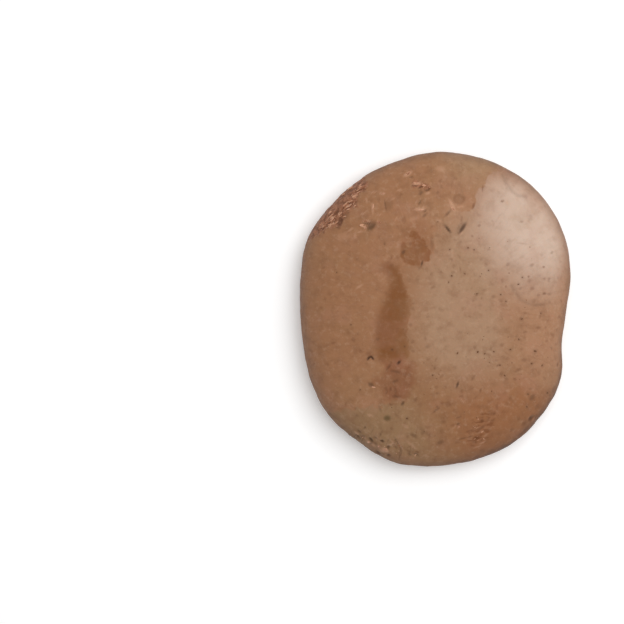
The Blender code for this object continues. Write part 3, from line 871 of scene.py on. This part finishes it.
def skin_finish():
    """The whole finish of the skin."""
    material, shader, place = new_finish("mushroom_skin", 0.6, 0.22, 0.08, 0.0012)
    drawn, away = thread_places(place)
    threads = step(noise_at(drawn, 0.0011, 2), 0.50, 0.75) * away
    tone, damp = broad_tones(place)
    tone = fine_tones(place, tone, threads)
    tone = mix(painted(place, "bruise") * 0.85, tone, linear(118, 76, 43))
    torn = ragged(place, "torn", 0.0026, 1.4, 0.22)
    raw = patches(noise_at(place, 0.0016, 4), (0.36, 0.62), (114, 66, 42), (168, 111, 82))
    tone = mix(torn * 0.80, tone, raw)
    brushed = place.node("ShaderNodeVectorMath", {"operation": "MULTIPLY"}, {0: place, 1: (0.35, 1, 1)})
    scuffed = ragged(place, "scuffed", 0.003, 1.4, 0.35) * step(noise_at(brushed, 0.0011, 3), 0.47, 0.62)
    tone = mix(scuffed * 0.60, tone, linear(116, 66, 34))
    strokes = step(noise_at(drawn, 0.0009, 3), 0.54, 0.70) * ragged(place, "pitted", 0.003, 1.6, 0.3)
    tone = mix(strokes * 0.35, tone, linear(104, 72, 50))
    for name, colour in MARK_TONES.items():
        tone = mix(painted(place, name), tone, linear(*colour))
    # painted shade along the steep edge of the cap, heavier at the lower right and blotched by noise
    rim_shade = painted(place, "edge") * (0.70 + step(noise_at(place, 0.0035, 3), 0.35, 0.60) * 0.30)
    tone = mix(rim_shade, tone, linear(88, 58, 42))
    flesh = patches(noise_at(place, 0.003, 3), (0.35, 0.65), (224, 202, 174), (196, 166, 134))
    tone = mix(painted(place, "under"), tone, flesh)
    grain = noise_at(place, 0.0007, 3, 0.6)
    connect(place.tree, shader.inputs["Roughness"], 0.66 - damp * 0.10 + grain * 0.08)
    fine = grain * 0.35 + threads * 0.2 + noise_at(place, 0.0024, 3) * 0.9
    dress(shader, tone, fine + torn * noise_at(place, 0.0008, 3) * 2.0 - strokes * 0.8, 0.00020)
    return material


skin_material = skin_finish()
print("the skin's finish has", len(skin_material.node_tree.nodes), "nodes")

# %% Build the skin
GRID = 300
UNDERSIDE_RINGS = (
    # share of the rim radius, height
    (0.80, 0.0122), (0.62, 0.0145), (0.40, 0.0158), (0.22, 0.0160),
)
PAINT = tuple(middle_marks)
UNDER_STARTS = (0.945, 0.975)
UNDER_WANDER = 0.012
# painted shade on the steep edge: where it starts, how strong it is, less where torn, more at lower right
UNDER_BAYS = 90
EDGE_STARTS = 0.915
EDGE_STRENGTH = 0.56
EDGE_LOST_WHERE_TORN = 0.7
DARK_EDGE_TURN = math.radians(-52)
DARK_EDGE_SPREAD = (0.70, 0.98)
DARK_EDGE_STEPS = (
    # strength, then the shares of the rim radius where it starts and is full
    (0.12, 0.80, 0.95), (0.24, 0.955, 0.994),
)
MARKS_FADE_BELOW = (0.0020, 0.0080)
# the pale, with its painted glare, fades near the edge
PALE_FADES = (0.84, 1.0)
PALE_LOST_AT_EDGE = 0.5


def build_skin(material):
    """Wraps a grid over the cap, closes it underneath, presses in the relief and paints its points."""
    bm = bmesh.new()
    bmesh.ops.create_grid(bm, x_segments=GRID, y_segments=GRID, size=1)
    layers = {name: bm.verts.layers.float.new(name) for name in PAINT + ("share", "turn", "under", "edge")}
    for vert in bm.verts:
        wrap(vert, layers)
    skin_points = bm.verts[:]
    close_underneath(bm, layers)
    bmesh.ops.recalc_face_normals(bm, faces=bm.faces)
    bm.normal_update()
    values, depth = marks_at(np.array([vert.co.xy for vert in skin_points]) / MM)
    for index, vert in enumerate(skin_points):
        press(vert, layers, {name: values[name][index] for name in PAINT}, depth[index])
    return finished(bm, "cap_skin", material, 80)


def wrap(vert, layers):
    """Moves one point of the flat grid to its place on the plain form of the cap."""
    ring, angle = grid_ring(vert.co.x, vert.co.y)
    share, z = section_at(ring)
    vert[layers["share"]] = share
    vert[layers["turn"]] = angle
    wander = UNDER_WANDER * rough_round(0, angle, UNDER_BAYS, 1)
    vert[layers["under"]] = smoothstep(*UNDER_STARTS, ring + wander)
    # the edge layer carries painted shade for the steep sides, strongest at the lower right
    low_right = smoothstep(*DARK_EDGE_SPREAD, math.cos(angle - DARK_EDGE_TURN))
    near = max(0.0, (share - EDGE_STARTS) / (1 - EDGE_STARTS))
    extra = sum(strength * smoothstep(low, high, share) for strength, low, high in DARK_EDGE_STEPS)
    vert[layers["edge"]] = EDGE_STRENGTH * near**2 + extra * low_right * smoothstep(*MARKS_FADE_BELOW, z)
    vert.co = shaped(share * RIM_MEAN, angle, z)


def press(vert, layers, values, depth):
    """Paints one point of the skin and moves it along its normal."""
    on_top = 1 - vert[layers["under"]]
    share, angle = vert[layers["share"]], vert[layers["turn"]]
    values["torn"] *= smoothstep(*MARKS_FADE_BELOW, vert.co.z)
    values["pale"] *= 1 - PALE_LOST_AT_EDGE * smoothstep(*PALE_FADES, share)
    vert[layers["edge"]] *= 1 - EDGE_LOST_WHERE_TORN * values["torn"]
    for name, value in values.items():
        vert[layers[name]] = value * on_top
    relief = skin_relief(vert.co, share, angle, values["torn"], values["pitted"]) - depth * MM
    vert.co = vert.co + vert.normal * relief * on_top


def close_underneath(bm, layers):
    """Runs the flesh in from the lip to the middle in a few rings, and closes it there."""
    def move(vert, share, z):
        vert.co = shaped(share * RIM_MEAN, vert[layers["turn"]], z)
        vert[layers["under"]] = 1

    grow_rings(bm, [edge for edge in bm.edges if edge.is_boundary], UNDERSIDE_RINGS, move)


skin = build_skin(skin_material)

# %% [markdown]
# ## Fibres, flakes and grains
#
# Where the skin is torn, its fibres fray into fine pale strands that lie across each other. Elsewhere a
# few flakes have lifted at one end. Both are thin strips: a small flat grid, bent along an arc, laid on
# the skin with a ray cast from above, and given a thickness with solidify. The dark grains are bits of
# the peat that mushrooms grow up through: little squashed balls, half sunk in the skin.

# %% Lay strips on the skin
skin_surface = BVHTree.FromObject(skin, bpy.context.evaluated_depsgraph_get())
STRIP_PARTS = 6
STRIP_THICKNESS = 0.00016
STRIP_SINK = 0.00008
STRIP_LEVEL = 0.4
TIP_WIDTH_SHARE = 0.12
PULLED_IN = 0.985
RAY_STARTS_Z = 0.1


def on_skin(x, y):
    """The point of the skin under x and y, in millimetres, and its normal."""
    return skin_surface.ray_cast(Vector((x * MM, y * MM, RAY_STARTS_Z)), Vector((0, 0, -1)))[:2]


def lay_strip(bm, x, y, direction, length, width, bend, lift, tip_lift):
    """Lays one strip about a point: direction in radians, the rest in millimetres."""
    made = bmesh.ops.create_grid(bm, x_segments=STRIP_PARTS, y_segments=1, size=0.5)
    forward = Vector((math.cos(direction), math.sin(direction)))
    sideways = forward.orthogonal()
    for vert in made["verts"]:
        along = 2 * vert.co.x
        taper = TIP_WIDTH_SHARE + (1 - TIP_WIDTH_SHARE) * math.sqrt(max(0.0, 1 - along * along))
        offset = forward * along * length / 2
        offset += sideways * (bend * (along * along - STRIP_LEVEL) + vert.co.y * width * taper)
        place, normal = on_skin(x + offset.x, y + offset.y)
        if place is None:
            place, normal = on_skin(x * PULLED_IN, y * PULLED_IN)
        rise = (lift * (1 - along * along) + tip_lift * max(0.0, along) ** 2) * MM - STRIP_SINK
        vert.co = place + normal * rise


print("the skin stands", round(on_skin(0, 0)[0].z / MM, 1), "mm high over the middle")

# %% Strew strands over a torn place
STREWN_WITHIN = 0.975
STRAND_SPREAD = 0.26
CROSSING_SHARE = 0.08
STRAND_LENGTHS = (0.5, 1.3)
STRAND_WIDTHS = (0.6, 1.4)
STRAND_BEND = 0.20
STRAND_LIFTS = (0.03, 0.16)


def scatter(outline, count, dice):
    """Seeded random points inside an outline that also lie on the cap."""
    xs, ys = zip(*outline)
    places = []
    while len(places) < count:
        x, y = dice.uniform(min(xs), max(xs)), dice.uniform(min(ys), max(ys))
        on_cap = math.hypot(x, y) * MM < STREWN_WITHIN * rim_radius(math.atan2(y, x))
        if on_cap and outline_distance(np.array([(x, y)]), outline)[0] > 0:
            places.append((x, y))
    return places


def fray(bm, outline, count, length, width, along_edge, dice):
    """Lays crossing strands over an outline, most of them near one direction."""
    for x, y in scatter(outline, count, dice):
        direction = along_edge + dice.gauss(0, STRAND_SPREAD)
        direction += math.pi / 2 if dice.random() < CROSSING_SHARE else 0
        size = length * dice.uniform(*STRAND_LENGTHS)
        thin = width * dice.uniform(*STRAND_WIDTHS)
        bend, lift = dice.gauss(0, STRAND_BEND), dice.uniform(*STRAND_LIFTS)
        lay_strip(bm, x, y, direction, size, thin, bend, lift, 0.0)


print("a place on the torn edge:", [round(part, 1) for part in scatter(TORN_EDGE, 1, random.Random(1))[0]])

# %% Where the strips go, in millimetres
FRAYED_PLACES = (
    # outline, how many strands, their length and width, their direction in degrees
    (FRINGE_LOW, 24, 3.3, 0.32, 42), (FRINGE_HIGH, 20, 3.5, 0.32, 40), (TORN_EDGE, 22, 2.8, 0.26, 48),
    (SCUFF, 16, 1.7, 0.17, 22), (TUFT, 12, 1.6, 0.26, -15), (PITTED, 8, 1.2, 0.26, -40),
)
STRANDS = (
    # from x, y to x, y, then the width: the longest strands of the torn edge
    (-37.3, 37.8, -34.4, 41.2, 0.5), (-36.3, 37.9, -33.6, 39.9, 0.38), (-42, 33.9, -39.4, 35.7, 0.42),
    (-41, 33.4, -38.4, 36.6, 0.45), (-42.3, 32.3, -40, 32.8, 0.42), (-41.7, 36.8, -39.7, 38.1, 0.38),
    (-41.8, 35, -39.5, 36.9, 0.35), (-42.2, 33.1, -40.2, 34.6, 0.32), (-45.2, 31.2, -42.5, 32.5, 0.65),
    (-31.3, 45.3, -26.7, 47.7, 0.38), (-30.9, 46.2, -28.2, 47.7, 0.3), (-33.6, 42.1, -29.7, 44.6, 0.52),
    (-35.2, 37.7, -33.1, 38.7, 0.32), (-34.3, 39, -32.5, 40.7, 0.35), (-32, 38.9, -31, 40, 0.5),
    (-32.1, 40.2, -31.2, 41.9, 0.36), (-34.4, 46.1, -32, 47.6, 0.42), (-36.6, 43.9, -35.1, 44.8, 0.3),
    (-32.7, 41.4, -30.6, 43.4, 0.34), (-31.6, 43.6, -29.2, 45.6, 0.34),
)
FLAKES = (
    # x, y, direction in degrees, length, width, how far the tip stands up
    (-28.3, 31.9, 170, 2.6, 1.2, 0.5), (-26.8, 33.6, 175, 3.8, 0.6, 0.3), (-22.8, 33.4, -20, 2.4, 0.8, 0.6),
    (-27.6, 31, 120, 1.6, 0.9, 0.3), (8.4, -45.2, -10, 1.2, 0.45, 0.2), (1, 30, 60, 1.4, 0.4, 0.2),
    (-8.2, 48.1, 0, 3, 0.6, 0.4), (-5.1, 47.5, -25, 1.9, 0.8, 0.6), (-3.3, 46.9, -35, 1.7, 0.6, 0.6),
    (-11.3, 52, 35, 2.4, 0.9, 0.3), (-6.6, 37.9, 5, 3.4, 0.5, 0.2), (5.7, 38.8, -62, 3.2, 0.8, 0.15),
    (-20.8, 44.3, 5, 2, 0.5, 0.2), (-24.6, 38.8, 80, 3, 0.5, 0.2), (-19.8, -54.2, -10, 1.8, 1.1, 0.5),
    (-22.2, -53.2, 40, 1.3, 0.8, 0.4), (-26.3, -51.4, 10, 1.2, 0.7, 0.4), (17.4, -47.2, 30, 1.6, 0.35, 0.2),
    (-24.6, -29.9, -15, 1.8, 0.6, 0.2),
)
print(len(STRANDS), "long strands and", len(FLAKES), "flakes")

# %% Build the fibres
FIBRE_SEED = 7
LONG_STRAND_BEND = 0.12
LONG_STRAND_LIFTS = (0.24, 0.40)
FLAKE_BEND = 0.15
FLAKE_LIFT = 0.12


def build_fibres(material):
    """Strands over the torn places and the few lifted flakes, as one piece."""
    dice = random.Random(FIBRE_SEED)
    bm = bmesh.new()
    for outline, count, length, width, degrees in FRAYED_PLACES:
        fray(bm, outline, count, length, width, math.radians(degrees), dice)
    for x, y, end_x, end_y, width in STRANDS:
        across, up = end_x - x, end_y - y
        bend, lift = dice.gauss(0, LONG_STRAND_BEND), dice.uniform(*LONG_STRAND_LIFTS)
        middle = (x + end_x) / 2, (y + end_y) / 2
        lay_strip(bm, *middle, math.atan2(up, across), math.hypot(across, up), width, bend, lift, 0.0)
    for x, y, degrees, length, width, tip in FLAKES:
        lay_strip(bm, x, y, math.radians(degrees), length, width, FLAKE_BEND, FLAKE_LIFT, tip)
    thicken(bm, STRIP_THICKNESS)
    return finished(bm, "fibres", material)


def fibre_finish():
    """Pinkish cream, browner in places."""
    material, shader, place = new_finish("mushroom_fibres", 0.6, 0.25, 0.15, 0.0008)
    tone = patches(noise_at(place, 0.0022, 3), (0.40, 0.66), (208, 155, 124), (150, 98, 70))
    dress(shader, tone, noise_at(place, 0.0004, 2), 0.00005)
    return material


build_fibres(fibre_finish())

# %% Build the peat grains
GRAIN_SEED = 23
MORE_GRAINS = 60
MORE_GRAIN_SIZES = (0.25, 0.5)
GRAIN_LENGTHS = (0.9, 1.5)
GRAIN_WIDTHS = (0.5, 0.8)
GRAIN_HEIGHT = 0.35
GRAIN_UNEVEN = 0.25
GRAIN_LUMP = 0.6
GRAIN_AREA = ((16, 28), (44, 24), (50, -10), (46, -32), (30, -50), (2, -56), (-24, -40), (-8, -20), (6, -16))


def build_grains(material):
    """Squashed balls half sunk in the skin: the listed ones, then fainter ones strewn between them."""
    dice = random.Random(GRAIN_SEED)
    places = scatter(GRAIN_AREA, MORE_GRAINS, dice)
    bm = bmesh.new()
    for x, y, size in GRAINS + tuple((x, y, dice.uniform(*MORE_GRAIN_SIZES)) for x, y in places):
        made = bmesh.ops.create_icosphere(bm, subdivisions=1, radius=size * MM / 2)["verts"]
        turn = Matrix.Rotation(dice.uniform(0, FULL_TURN), 3, "Z")
        squash = Matrix.Diagonal((dice.uniform(*GRAIN_LENGTHS), dice.uniform(*GRAIN_WIDTHS), GRAIN_HEIGHT))
        place, normal = on_skin(x, y)
        tilt = normal.to_track_quat("Z", "Y").to_matrix()
        for vert in made:
            uneven = 1 + GRAIN_UNEVEN * rough(vert.co, size * MM * GRAIN_LUMP, dice.random())
            vert.co = place + tilt @ turn @ squash @ (vert.co * uneven)
    return finished(bm, "peat_grains", material)


def grain_finish():
    """Dark brown, speckled."""
    material, shader, place = new_finish("mushroom_peat", 0.7, 0.2)
    tone = patches(noise_at(place, 0.0003, 2), (0.4, 0.6), (92, 58, 38), (124, 82, 54))
    dress(shader, tone, noise_at(place, 0.0002, 2), 0.00003)
    return material


build_grains(grain_finish())

# %% [markdown]
# ## The gills
#
# Under the cap hang several hundred thin blades that carry the spores. They reach from near the stem to
# the lip, with shorter ones let in wherever two long ones drift apart. In a ripe portobello they are
# chocolate brown. Each blade starts as a small flat grid, which we bend into its place and then give a
# thickness with solidify. All of them together are one piece, so a blade has only a few dozen faces.

# %% Gill sizes
GILL_SETS = (
    # how many, the share of the rim radius where they start, their shift in steps round the cap
    (80, 0.300, 0.0), (80, 0.430, 0.5), (160, 0.620, 0.5),
)
GILL_COLUMNS = 9
GILL_ROWS = 2
GILL_THICKNESS = 0.00036
GILL_END_SHARE = 0.915
GILL_BELLY_Z = 0.0036
GILL_ARCH = 0.0012
GILL_RISE = 0.085
GILL_ROOT_DEPTH = 0.0012
GILL_EDGE_WAVE = 0.0004
GILL_SWAY = 0.0011
GILL_UNEVEN = 0.22
GILL_START_SHIFT = 0.03
FLESH_BASE = (
    # share of the rim radius, height of the flesh that the gills hang from
    (0.33, 0.0158), (0.73, 0.0138), (0.885, 0.0088), (0.93, 0.0070),
)


def gill_heights(share, start, angle):
    """Heights of a gill's free edge and of its root at one share of the rim radius."""
    stations, heights = zip(*FLESH_BASE)
    root = float(np.interp(share, stations, heights))
    level = GILL_BELLY_Z + GILL_ARCH * math.sin(math.pi * share)
    level += GILL_EDGE_WAVE * rough_round(share * RIM_MEAN, angle, 120, 0.01, 4)
    hidden = 1 - smoothstep(start, start + GILL_RISE, share)
    return level + (root - level) * hidden, root + GILL_ROOT_DEPTH


def gill_sway(share, angle, depth):
    """Neighbouring gills wave together, and more at the free edge than at the root."""
    radius = share * RIM_MEAN
    wave = rough_round(radius, angle, 26, 0.011, 1) + 0.5 * rough_round(radius, angle, 70, 0.006, 2)
    return (GILL_SWAY * wave * (0.35 + 0.65 * depth)) / radius


print(sum(count for count, start, offset in GILL_SETS), "gills")


# %% Build the gills
def place_gill(verts, angle, start):
    """Bends one flat grid to its place: its length runs outwards, its height hangs from the flesh."""
    for vert in verts:
        along, depth = vert.co.x + 0.5, 0.5 - vert.co.y
        share = start + (GILL_END_SHARE - start) * along
        edge_z, root_z = gill_heights(share, start, angle)
        turned = angle + gill_sway(share, angle, depth)
        vert.co = shaped(share * RIM_MEAN, turned, root_z + (edge_z - root_z) * depth)


def build_gills(material):
    """Every gill, long, middling and short, as thin closed blades."""
    bm = bmesh.new()
    for count, start, offset in GILL_SETS:
        for index in range(count):
            uneven = GILL_UNEVEN * rough_round(0, index, 40, 1, start)
            angle = FULL_TURN * (index + offset + uneven) / count
            shift = GILL_START_SHIFT * rough_round(0, angle, 90, 1, start * 9)
            made = bmesh.ops.create_grid(bm, x_segments=GILL_COLUMNS, y_segments=GILL_ROWS, size=0.5)
            place_gill(made["verts"], angle, start + shift)
    thicken(bm, GILL_THICKNESS)
    return finished(bm, "gills", material, 50)


def gill_finish():
    """Chocolate brown with a paler, dusty free edge, and painted shade darkening it towards the roots."""
    material, shader, place = new_finish("mushroom_gills", 0.75, 0.2, 0.05, 0.0006)
    height = split(place)[2]
    edge = patches(noise_at(place, 0.010, 3), (0.40, 0.65), (126, 90, 70), (98, 66, 50))
    # painted shade: the blades darken up towards their roots, between their neighbours
    tone = mix(step(height, 0.0035, 0.0110), edge, linear(58, 37, 28))
    speck = step(noise_at(place, 0.0006, 2), 0.55, 0.75)
    tone = mix(speck * 0.35, tone, linear(64, 40, 30))
    dress(shader, tone, noise_at(place, 0.0005, 2), 0.00008)
    return material


build_gills(gill_finish())

# %% [markdown]
# ## The stem
#
# The stem was cut off level with the cap's edge. What is left is a short, thick stub of cream flesh with
# fibres down its sides and a flat, slightly browned cut. A circle extruded upwards ring by ring gives its
# flare into the cap, and insets keep the faces of the cut small enough to roughen.

# %% Build the stem
STEM_COLUMNS = 96
STEM_RINGS = (
    # radius as a share of the stem's, height in metres
    (1.00, 0.0025), (1.00, 0.0045), (1.01, 0.0065), (1.03, 0.0085), (1.06, 0.0110), (1.10, 0.0135),
    (1.18, 0.0155), (1.34, 0.0168),
)
CUT_RINGS = 9
CUT_LIFT = 0.0001
CUT_ROUGHNESS = 0.0003
STEM_FIBRES = 0.0003
STEM_FLUTES = 0.0006
STEM_SIDE_STARTS = (0.5, 0.9)
CUT_EDGE_STARTS = (0.8, 1.0)


def move_to_ring(vert, share, z):
    """Moves a new point out to its share of the stem's radius and up to its height."""
    level = vert.co.xy.normalized() * STEM_RADIUS * share
    vert.co = (level.x, level.y, z)


def build_stem(material):
    """A roughened stub: the cut face below, then rings up the sides and into the flesh."""
    bm = bmesh.new()
    bmesh.ops.create_circle(bm, cap_ends=True, segments=STEM_COLUMNS, radius=STEM_RADIUS)
    cut = bm.faces[:]
    grow_rings(bm, bm.edges[:], STEM_RINGS, move_to_ring)
    for ring in range(CUT_RINGS):
        bmesh.ops.inset_region(bm, faces=cut, thickness=STEM_RADIUS / (CUT_RINGS + 1), use_even_offset=True)
    bmesh.ops.recalc_face_normals(bm, faces=bm.faces)
    for vert in bm.verts:
        roughen_stem(vert)
    return finished(bm, "stem", material, 70)


def roughen_stem(vert):
    """Gives one point of the stem its oval place, its fibres and the unevenness of the cut."""
    radius = math.hypot(vert.co.x, vert.co.y)
    angle = math.atan2(vert.co.y, vert.co.x)
    z = vert.co.z
    relief = STEM_FIBRES * rough_round(z, angle, 60, 0.012, 3)
    relief += STEM_FLUTES * rough_round(z, angle, 12, 0.02, 5)
    radius += relief * smoothstep(*STEM_SIDE_STARTS, radius / STEM_RADIUS)
    if z == 0:
        inner = 1 - smoothstep(*CUT_EDGE_STARTS, radius / STEM_RADIUS)
        z = STEM_CUT_Z + CUT_LIFT + CUT_ROUGHNESS * inner * (1 + rough(vert.co, 0.004, 8, 3))
    vert.co = shaped(radius, angle, z)


def stem_finish():
    """Cream flesh with fibres up its sides, browned in rings and specks over the cut."""
    material, shader, place = new_finish("mushroom_stem", 0.7, 0.2, 0.12, 0.002)
    fibres_shade = step(noise_at(thread_places(place)[0], 0.0018, 3), 0.45, 0.70)
    side = mix(fibres_shade, linear(230, 212, 188), linear(190, 160, 128))
    cut = patches(noise_at(place, 0.0035, 4, 0.6), (0.40, 0.66), (212, 184, 150), (150, 106, 74))
    tone = mix(1 - step(split(place)[2], 0.0012, 0.0020), side, cut)
    dress(shader, tone, fibres_shade * 0.5 + noise_at(place, 0.0008, 3), 0.0002)
    return material


build_stem(stem_finish())

# %% [markdown]
# ## Floor and light
#
# The table is a plain pale sheet. Seen from below it lets the view through, so that the gills can be
# looked at too. The light is one broad soft source over the cap, a little towards its upper right, and a
# pale surround that fills the shadows.

# %% Floor
FLOOR_SIZE = 3.0
FLOOR_Z = -0.0002
FLOOR_COLOUR = (0.92, 0.92, 0.92, 1)
FLOOR_GLOW = 0.22


def build_floor():
    """A pale sheet under the mushroom that shows only from above."""
    bm = bmesh.new()
    bmesh.ops.create_grid(bm, x_segments=1, y_segments=1, size=FLOOR_SIZE)
    bmesh.ops.translate(bm, verts=bm.verts, vec=(0, 0, FLOOR_Z))
    sheet = add_mesh(bm, "floor", floor_finish())


def floor_finish():
    """White and a little luminous from above, and clear from below."""
    material, shader, place = new_finish("pale_table", 0.8)
    set_inputs(shader, {"Base Color": FLOOR_COLOUR, "Emission Color": WHITE, "Emission Strength": FLOOR_GLOW})
    back = place.node("ShaderNodeNewGeometry", {}, {}, "Backfacing")
    clear = place.node("ShaderNodeBsdfTransparent")
    top = Wire(place.tree, shader.outputs["BSDF"])
    shown = place.node("ShaderNodeMixShader", {}, {0: back, 1: top, 2: clear})
    place.tree.links.new(shown.socket, place.tree.nodes["Material Output"].inputs["Surface"])
    return material


build_floor()
print("a floor", FLOOR_SIZE, "m to each side")

# %% Light
LIGHT_PLACE = (0.35, 0.30, 1.10)
LIGHT_SIZE = 0.9
LIGHT_WATTS = 9.6
SURROUND = 0.42


def add_soft_light():
    """A square soft light aimed at the middle of the cap."""
    data = bpy.data.lights.new("overhead", "AREA")
    data.size = LIGHT_SIZE
    data.energy = LIGHT_WATTS
    light = add_object("overhead", data)
    light.location = LIGHT_PLACE
    light.rotation_euler = (-Vector(LIGHT_PLACE)).to_track_quat("-Z", "Y").to_euler()


def add_surround():
    """A pale, even surround."""
    world = bpy.data.worlds.new("surround")
    world.use_nodes = True
    set_inputs(world.node_tree.nodes["Background"], {"Color": WHITE, "Strength": SURROUND})
    bpy.context.scene.world = world


add_soft_light()
add_surround()
bpy.context.scene.view_settings.view_transform = "Standard"
print("one soft light of", LIGHT_WATTS, "W")
